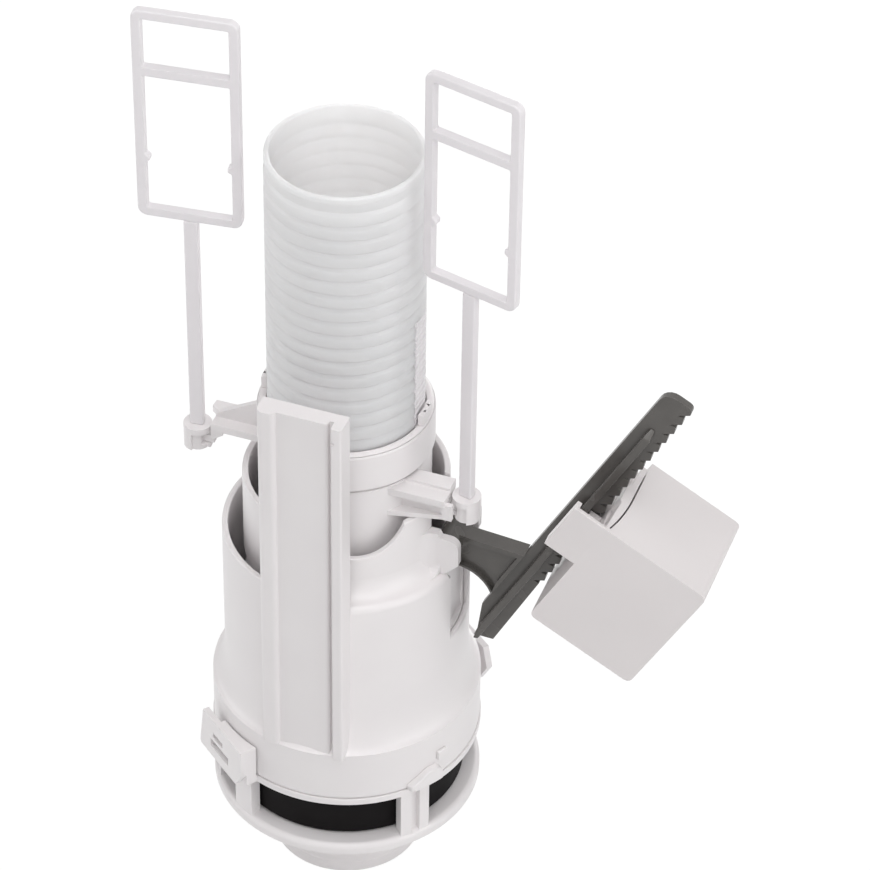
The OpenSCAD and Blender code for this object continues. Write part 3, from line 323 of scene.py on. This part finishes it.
def soften(name, body, material, radius_mm, held=None, wide=None, wide_mm=0.0, cuts=()):
    """A copy of a CAD node with its edges rounded, as a mould leaves them, in place of the node.

    held picks the points that lie on another node of the same moulding: edges along them stay as they are.
    wide picks the points whose edges get the radius wide_mm. cuts are planes, each a point and a normal,
    that split long edges, so that one end can be held.
    """
    bm = bmesh.new()
    bm.from_mesh(node_of[name].data)
    bmesh.ops.remove_doubles(bm, verts=bm.verts, dist=SAME_POINT * MM)
    for point, normal in cuts:
        everything = bm.verts[:] + bm.edges[:] + bm.faces[:]
        bmesh.ops.bisect_plane(bm, geom=everything, plane_co=point, plane_no=normal)
    weight = bm.edges.layers.float.new("bevel_weight_edge")
    largest = max(radius_mm, wide_mm)
    for face in bm.faces:
        face.smooth = True
    for edge in bm.edges:
        corner = edge.calc_face_angle(0.0) > math.radians(CORNER_DEG)
        kept = corner and held and all(held(v.co / MM) for v in edge.verts)
        edge.smooth = not kept
        if corner and not kept:
            broad = wide and all(wide(v.co / MM) for v in edge.verts)
            edge[weight] = (wide_mm if broad else radius_mm) / largest
    obj = piece_from(bm, name + "_moulded")
    round_edges = obj.modifiers.new("round edges", "BEVEL")
    round_edges.width = largest * MM
    round_edges.segments = EDGE_SEGMENTS
    round_edges.limit_method = "WEIGHT"
    round_edges.use_clamp_overlap = True
    level = obj.modifiers.new("level faces", "WEIGHTED_NORMAL")
    level.keep_sharp = True
    make_plain(obj)
    finish_piece(obj, body, material, (name,), None)


def lathe(name, outline, steps=WHOLE_STEPS, a0=0.0, a1=360.0):
    """A closed outline, (radius, height) pairs in millimetres, turned about Z from a0 to a1 degrees."""
    bm = bmesh.new()
    whole = a1 - a0 >= 360.0
    count = steps if whole else steps + 1
    rings = []
    for i in range(count):
        a = math.radians(a0 + (a1 - a0) * i / steps)
        rings.append([bm.verts.new((r * MM * math.cos(a), r * MM * math.sin(a), z * MM)) for r, z in outline])
    n = len(outline)
    for i in range(steps):
        one, two = rings[i], rings[(i + 1) % count]
        for k in range(n):
            m = (k + 1) % n
            bm.faces.new((one[k], two[k], two[m], one[m]))
    if not whole:
        bm.faces.new(rings[0])
        bm.faces.new(list(reversed(rings[-1])))
    bmesh.ops.recalc_face_normals(bm, faces=bm.faces)
    return piece_from(bm, name)


def arc_points(cx, cz, r, a0, a1, n):
    """n + 1 points of an outline, on an arc about (cx, cz) from a0 to a1 degrees."""
    turns = [math.radians(a0 + (a1 - a0) * i / n) for i in range(n + 1)]
    return [(cx + r * math.cos(a), cz + r * math.sin(a)) for a in turns]


def stack_tree(name, pattern, material):
    """Geometry Nodes that repeat a pattern along Z, with inputs for its count, first height and spacing."""
    tree = bpy.data.node_groups.new(name, "GeometryNodeTree")
    tree.interface.new_socket("Geometry", in_out="OUTPUT", socket_type="NodeSocketGeometry")
    tree.interface.new_socket("Count", in_out="INPUT", socket_type="NodeSocketInt")
    tree.interface.new_socket("First height", in_out="INPUT", socket_type="NodeSocketFloat")
    tree.interface.new_socket("Spacing", in_out="INPUT", socket_type="NodeSocketFloat")
    given = add(tree, "NodeGroupInput")
    first = add(tree, "ShaderNodeCombineXYZ", None, {"Z": (given, "First height")})
    step = add(tree, "ShaderNodeCombineXYZ", None, {"Z": (given, "Spacing")})
    line = add(tree, "GeometryNodeMeshLine", None,
               {"Count": (given, "Count"), "Start Location": (first, "Vector"), "Offset": (step, "Vector")})
    shape = add(tree, "GeometryNodeObjectInfo", {"Object": pattern})
    copies = add(tree, "GeometryNodeInstanceOnPoints", None,
                 {"Points": (line, "Mesh"), "Instance": (shape, "Geometry")})
    real = add(tree, "GeometryNodeRealizeInstances", None, {"Geometry": (copies, "Instances")})
    painted = add(tree, "GeometryNodeSetMaterial", {"Material": material}, {"Geometry": (real, "Geometry")})
    add(tree, "NodeGroupOutput", None, {"Geometry": (painted, "Geometry")})
    return tree


def stacked(name, pattern, count, first_mm, spacing_mm, material):
    """One plain mesh of a pattern repeated along Z, in place of the pattern."""
    tree = stack_tree(name + "_stack", pattern, material)
    obj = bpy.data.objects.new(name, bpy.data.meshes.new(name))
    bpy.context.scene.collection.objects.link(obj)
    maker = obj.modifiers.new("stack", "NODES")
    maker.node_group = tree
    values = {"Count": count, "First height": first_mm * MM, "Spacing": spacing_mm * MM}
    for item in tree.interface.items_tree:
        if item.in_out == "INPUT":
            maker[item.identifier] = values[item.name]
    make_plain(obj)
    bpy.data.objects.remove(pattern)
    return obj


# overflow tube: a smooth wall with faint rings inside, and rounded ridges around it

bore_r = TUBE_R - TUBE_WALL
core_r = TUBE_R - GROOVE_DEPTH
rim_r = TUBE_R - RIM_INSET
round_z = TUBE_TOP - RIM_ROUND
wall = [(bore_r, TUBE_FOOT)]
z = TUBE_FOOT + INNER_RING_FROM
while z < TUBE_TOP - INNER_RING_CLEAR:
    wall += [(bore_r, z), (bore_r + INNER_RING_DEPTH, z + INNER_RING_H / 2), (bore_r, z + INNER_RING_H)]
    z += RIDGE_PITCH
wall += arc_points(bore_r + RIM_ROUND, round_z, RIM_ROUND, 180, 90, RIM_STEPS)
wall += arc_points(rim_r - RIM_ROUND, round_z, RIM_ROUND, 90, 0, RIM_STEPS)
wall += [(rim_r, TUBE_TOP - RIM_H), (core_r, TUBE_TOP - RIM_H - RIM_SLOPE_H), (core_r, TUBE_FOOT)]
tube_wall = lathe("tube_wall", wall)

land = RIDGE_PITCH - GROOVE_H
slope_top = land + RIDGE_SLOPE_PAST
slope_foot = slope_top - RIDGE_SLOPE_H
ridge = [(core_r - RIDGE_ROOT, 0.0), (TUBE_R - RIDGE_FOOT_IN, 0.0)]
ridge += arc_points(TUBE_R - RIDGE_FOOT_IN, RIDGE_FOOT_IN, RIDGE_FOOT_ROUND,
                    -RIDGE_FOOT_DEG, 0, RIDGE_FOOT_STEPS)
ridge += [(TUBE_R - RIDGE_INSET, slope_foot), (TUBE_R - RIDGE_BREAK_IN, slope_foot + RIDGE_BREAK_H),
          (core_r + RIDGE_INSET, slope_top), (core_r - RIDGE_ROOT, slope_top)]
first_ridge = TUBE_TOP - RIM_H - RIDGE_PITCH + GROOVE_H
full_count = int((first_ridge - STRIP_TOP) / RIDGE_PITCH) + 1
full_ridges = stacked("tube_ridges", lathe("ridge", ridge), full_count,
                      first_ridge - land, -RIDGE_PITCH, CLEAR_PP)

# beside the strips each ridge is two halves
gap_deg = math.degrees(math.asin(STRIP_W / 2 / TUBE_R)) + STRIP_GAP_DEG
bm = bmesh.new()
for half_deg in (0, 180):
    half_ridge = lathe("half_ridge", ridge, HALF_STEPS, half_deg + gap_deg, half_deg + 180 - gap_deg)
    bm.from_mesh(half_ridge.data)
    bpy.data.objects.remove(half_ridge)
split_first = first_ridge - land - full_count * RIDGE_PITCH
split_count = int((split_first - TUBE_FOOT) / RIDGE_PITCH) + 1
split_ridges = stacked("tube_split_ridges", piece_from(bm, "split_ridge"), split_count,
                       split_first, -RIDGE_PITCH, CLEAR_PP)
merge(tube_wall, full_ridges, split_ridges)
finish_piece(tube_wall, "tube", CLEAR_PP, ("overflow_tube",))

# toothed strips let into the sides of the tube
tooth_count = int((STRIP_TOP - STRIP_FOOT) / STRIP_PITCH)
for side, word in ((1, "right"), (-1, "left")):
    bm = bmesh.new()
    flat, root, tip = ((TUBE_R - d) * side for d in (TOOTH_BACK_IN, TOOTH_ROOT_IN, TOOTH_TIP_IN))
    tooth = [(flat, 0.0), (root, 0.0), (tip, TOOTH_FLAT_FROM), (tip, TOOTH_FLAT_TO), (root, TOOTH_TOP),
             (root, STRIP_PITCH), (flat, STRIP_PITCH)]
    front = [bm.verts.new((x * MM, -STRIP_W / 2 * MM, h * MM)) for x, h in tooth]
    back = [bm.verts.new((x * MM, STRIP_W / 2 * MM, h * MM)) for x, h in tooth]
    bm.faces.new(front)
    bm.faces.new(list(reversed(back)))
    for k in range(len(tooth)):
        m = (k + 1) % len(tooth)
        bm.faces.new((front[m], front[k], back[k], back[m]))
    bmesh.ops.recalc_face_normals(bm, faces=bm.faces)
    teeth = stacked("strip_teeth_" + word, piece_from(bm, "tooth_" + word), tooth_count,
                    STRIP_FOOT, STRIP_PITCH, PALE_PP)
    finish_piece(teeth, "tube", PALE_PP, ("strip_" + word,))

# the shoulder: one turned ledge that runs from the neck through a hollow into a rounded edge
low_rim = ROOF_Z - ROOF_ROUND
edge_r = SHELL_R - ROOF_ROUND
hollow_w = edge_r - NECK_R + HOLLOW_INTO_NECK
ledge = [(NECK_R, ROOF_Z - ROOF_T), (SHELL_R - SHELL_WALL, low_rim)]
ledge += arc_points(edge_r, low_rim, ROOF_ROUND, 0, 90, EDGE_STEPS)
for deg in range(HOLLOW_STEP_DEG, 90 + 1, HOLLOW_STEP_DEG):
    a = math.radians(deg)
    ledge.append((edge_r - hollow_w * math.sin(a), ROOF_Z + HOLLOW_H * (1 - math.cos(a))))
slot_deg = math.degrees(math.asin(SLOT_HALF / NECK_R))
for side, word in ((-1, "front"), (1, "back")):
    a0, a1 = sorted((side * ROOF_HALF_ARC, side * slot_deg))
    part = lathe("shoulder_ledge_" + word, ledge, SHOULDER_STEPS, a0, a1)
    finish_piece(part, "body", WHITE_ABS, ("shoulder_" + word,))

# thread rings at the foot of the spigot
crest_r = SPIGOT_R + THREAD_DEPTH
sunk_r = SPIGOT_R - THREAD_DEPTH
ring = [(sunk_r, 0.0), (SPIGOT_R, 0.0), (crest_r, THREAD_SLOPE_H), (crest_r, THREAD_H - THREAD_SLOPE_H),
        (SPIGOT_R, THREAD_H), (sunk_r, THREAD_H)]
thread = stacked("spigot_thread", lathe("thread_ring", ring), THREAD_COUNT,
                 THREAD_FOOT, THREAD_PITCH, WHITE_ABS)
finish_piece(thread, "base", WHITE_ABS)


# where nodes of one moulding meet: tests on a point in millimetres


def level_at(*heights):
    """A test for points at one of some heights."""
    return lambda p: any(abs(p.z - h) < LEVEL_TOUCH for h in heights)


def ring_at(radius):
    """A test for points at a radius from the valve's axis."""
    return lambda p: abs(math.hypot(p.x, p.y) - radius) < RING_TOUCH


def either(*tests):
    """A test for points that pass any of some tests."""
    return lambda p: any(test(p) for test in tests)


def on_shell(p):
    """On the outside of the skirt, the flare or the shell, where the guide column grows out of them."""
    if p.z > SHELL_TOP + LEVEL_TOUCH:
        return False
    along = min(max((p.z - FLARE_Z) / FLARE_H, 0.0), 1.0)
    radius = SKIRT_R - (SKIRT_R - SHELL_R) * math.sin(math.acos(1.0 - along))
    return abs(math.hypot(p.x, p.y) - radius) < COLUMN_TOUCH


def in_recess(p):
    """On the sides of the shell's opening below the lever."""
    return p.x > RECESS_X and abs(p.y) < SLOT_HALF + RECESS_TOUCH


lean = math.radians(LEVER_LEAN_DEG)
bar_out = Vector((math.cos(lean), 0.0, -math.sin(lean)))
bar_way = Vector((math.sin(lean), 0.0, math.cos(lean)))


def on_wing_joint(p):
    """On the face between the float box and its wing, which lies along the lever's bar."""
    from_pivot = p - Vector(PIVOT)
    along = from_pivot.dot(bar_way)
    on_face = abs(from_pivot.dot(bar_out) - BOX_IN) < WING_TOUCH
    return on_face and WING_LOW - WING_TOUCH < along < BOX_TOP + WING_TOUCH


HELD = {
    "body_skirt": level_at(FLARE_Z),
    "body_flare": level_at(FLARE_Z, FLARE_TOP),
    "body_shell": level_at(FLARE_TOP, low_rim),
    "lever_recess": ring_at(SHELL_R - SHELL_WALL),
    "guide_column": on_shell,
    "ear_front": either(ring_at(NECK_R), level_at(ROOF_Z)),
    "ear_back": either(ring_at(NECK_R), level_at(ROOF_Z)),
    "box_wing": on_wing_joint,
    "float_box": on_wing_joint,
}
WIDE = {"body_shell": (in_recess, RECESS_ROUND)}
wing_end = (tuple((Vector(PIVOT) + bar_way * WING_LOW) * MM), tuple(bar_way))
CUTS = {"float_box": (wing_end,)}

# every other node keeps its solid, with the mould's rounded edges: body, node and radius in millimetres
SOFT = {
    "base": {"outlet_base": 0.5, "bracket_left": 0.3, "bracket_right": 0.3},
    "body": {"body_skirt": 0.5, "body_flare": 0.5, "body_shell": 0.5, "lever_recess": 0.6, "inner_neck": 0.7,
             "guide_column": 0.45, "ear_front": 0.7, "ear_back": 0.7, "lock_wedge": 0.6, "lock_nub": 0.5},
    "lift": {"lift_sleeve": 0.3, "adjust_collar": 0.7, "clip_right": 0.4, "clip_left": 0.4, "full_arm": 0.3,
             "half_arm": 0.3, "seal_carrier": 0.4, "valve_seal": 0.4, "inner_float": 0.5},
    "full_pull": {"full_foot": 0.4, "full_rod": 0.5, "full_frame": 0.5},
    "half_pull": {"half_foot": 0.4, "half_rod": 0.5, "half_frame": 0.5},
    "lever": {"lever_neck": 0.5, "lever_rack": 0.4, "rack_rib_front": 0.5, "rack_rib_back": 0.5},
    "box": {"float_box": 0.8, "box_wing": 0.35, "box_latch": 0.3, "guide_front": 0.3, "guide_back": 0.3},
}
FINISH = {"white_plastic": WHITE_ABS, "pearl_plastic": PALE_PP, "grey_plastic": GREY_ACETAL,
          "black_rubber": BLACK_EPDM, "black_plastic": BLACK_PP}
for body, radii in SOFT.items():
    for name, radius in radii.items():
        slot = slot_of[name]
        material = WHITE_PS if body == "box" else FINISH[slot]
        wide, wide_mm = WIDE.get(name, (None, 0.0))
        soften(name, body, material, radius, HELD.get(name), wide, wide_mm, CUTS.get(name, ()))


# stage: a pale floor, a soft tent of light and the photograph's camera

scene = bpy.context.scene
scene.view_settings.view_transform = "Standard"


def white_seen(tree):
    """1 for rays from the camera and for mirror and clear rays, which see plain white."""
    path = add(tree, "ShaderNodeLightPath")
    seen_or_mirrored = add(tree, "ShaderNodeMath", None,
                           {0: (path, "Is Camera Ray"), 1: (path, "Is Glossy Ray")}, operation="MAXIMUM")
    return add(tree, "ShaderNodeMath", None,
               {0: (seen_or_mirrored, "Value"), 1: (path, "Is Transmission Ray")}, operation="MAXIMUM")


floor_mat = bpy.data.materials.new("pale_floor")
floor_mat.use_nodes = True
tree = floor_mat.node_tree
tree.nodes.clear()
seen = white_seen(tree)
share = add(tree, "ShaderNodeMath", {1: FLOOR_GLOW_SHARE}, {0: (seen, "Value")}, operation="MULTIPLY")
matt = add(tree, "ShaderNodeBsdfDiffuse", {"Color": linear("f4f4f4")})
glow = add(tree, "ShaderNodeEmission", {"Color": linear("ffffff"), "Strength": FLOOR_GLOW})
mixed = add(tree, "ShaderNodeMixShader", None,
            {0: (share, "Value"), 1: (matt, "BSDF"), 2: (glow, "Emission")})
add(tree, "ShaderNodeOutputMaterial", None, {"Surface": (mixed, "Shader")})
bm = bmesh.new()
bmesh.ops.create_grid(bm, x_segments=1, y_segments=1, size=FLOOR_HALF_M)
floor = piece_from(bm, "floor")
floor.data.transform(Matrix.Translation((0, 0, cad_box[0][2] - FLOOR_DROP_M)))
floor.data.materials.append(floor_mat)

world = bpy.data.worlds.new("light_tent")
scene.world = world
world.use_nodes = True
tree = world.node_tree
tree.nodes.clear()
seen = white_seen(tree)
tent = add(tree, "ShaderNodeBackground", {"Color": TENT_TINT, "Strength": TENT_LIGHT})
white = add(tree, "ShaderNodeBackground", {"Color": linear("ffffff"), "Strength": 1.0})
mixed = add(tree, "ShaderNodeMixShader", None,
            {0: (seen, "Value"), 1: (tent, "Background"), 2: (white, "Background")})
add(tree, "ShaderNodeOutputWorld", None, {"Surface": (mixed, "Shader")})

for name, (place, aim, side_m, watts) in SOFTBOXES.items():
    lamp = bpy.data.lights.new(name, "AREA")
    lamp.energy = watts
    lamp.shape = "SQUARE"
    lamp.size = side_m
    softbox = bpy.data.objects.new(name, lamp)
    softbox.location = place
    softbox.rotation_euler = (Vector(aim) - Vector(place)).to_track_quat("-Z", "Y").to_euler()
    scene.collection.objects.link(softbox)

turn, height, roll = (math.radians(v) for v in (VIEW_TURN, VIEW_HEIGHT, VIEW_ROLL))
to_eye = Vector((math.sin(turn) * math.cos(height), -math.cos(turn) * math.cos(height), math.sin(height)))
right = Vector((math.cos(turn), math.sin(turn), 0.0))
up = to_eye.cross(right)
right, up = math.cos(roll) * right + math.sin(roll) * up, -math.sin(roll) * right + math.cos(roll) * up
eye = Vector((0, 0, VIEW_TARGET_Z)) - VIEW_RIGHT * right - VIEW_UP * up + VIEW_DISTANCE * to_eye
lens = bpy.data.cameras.new("camera")
lens.sensor_fit = "HORIZONTAL"
lens.sensor_width = SENSOR_W
lens.lens = VIEW_FOCAL_PX / PICTURE_PX * SENSOR_W
lens.clip_start = NEAREST_M
camera = bpy.data.objects.new("camera", lens)
camera.matrix_world = Matrix((
    (right.x, up.x, to_eye.x, eye.x * MM),
    (right.y, up.y, to_eye.y, eye.y * MM),
    (right.z, up.z, to_eye.z, eye.z * MM),
    (0, 0, 0, 1)))
scene.collection.objects.link(camera)
scene.camera = camera
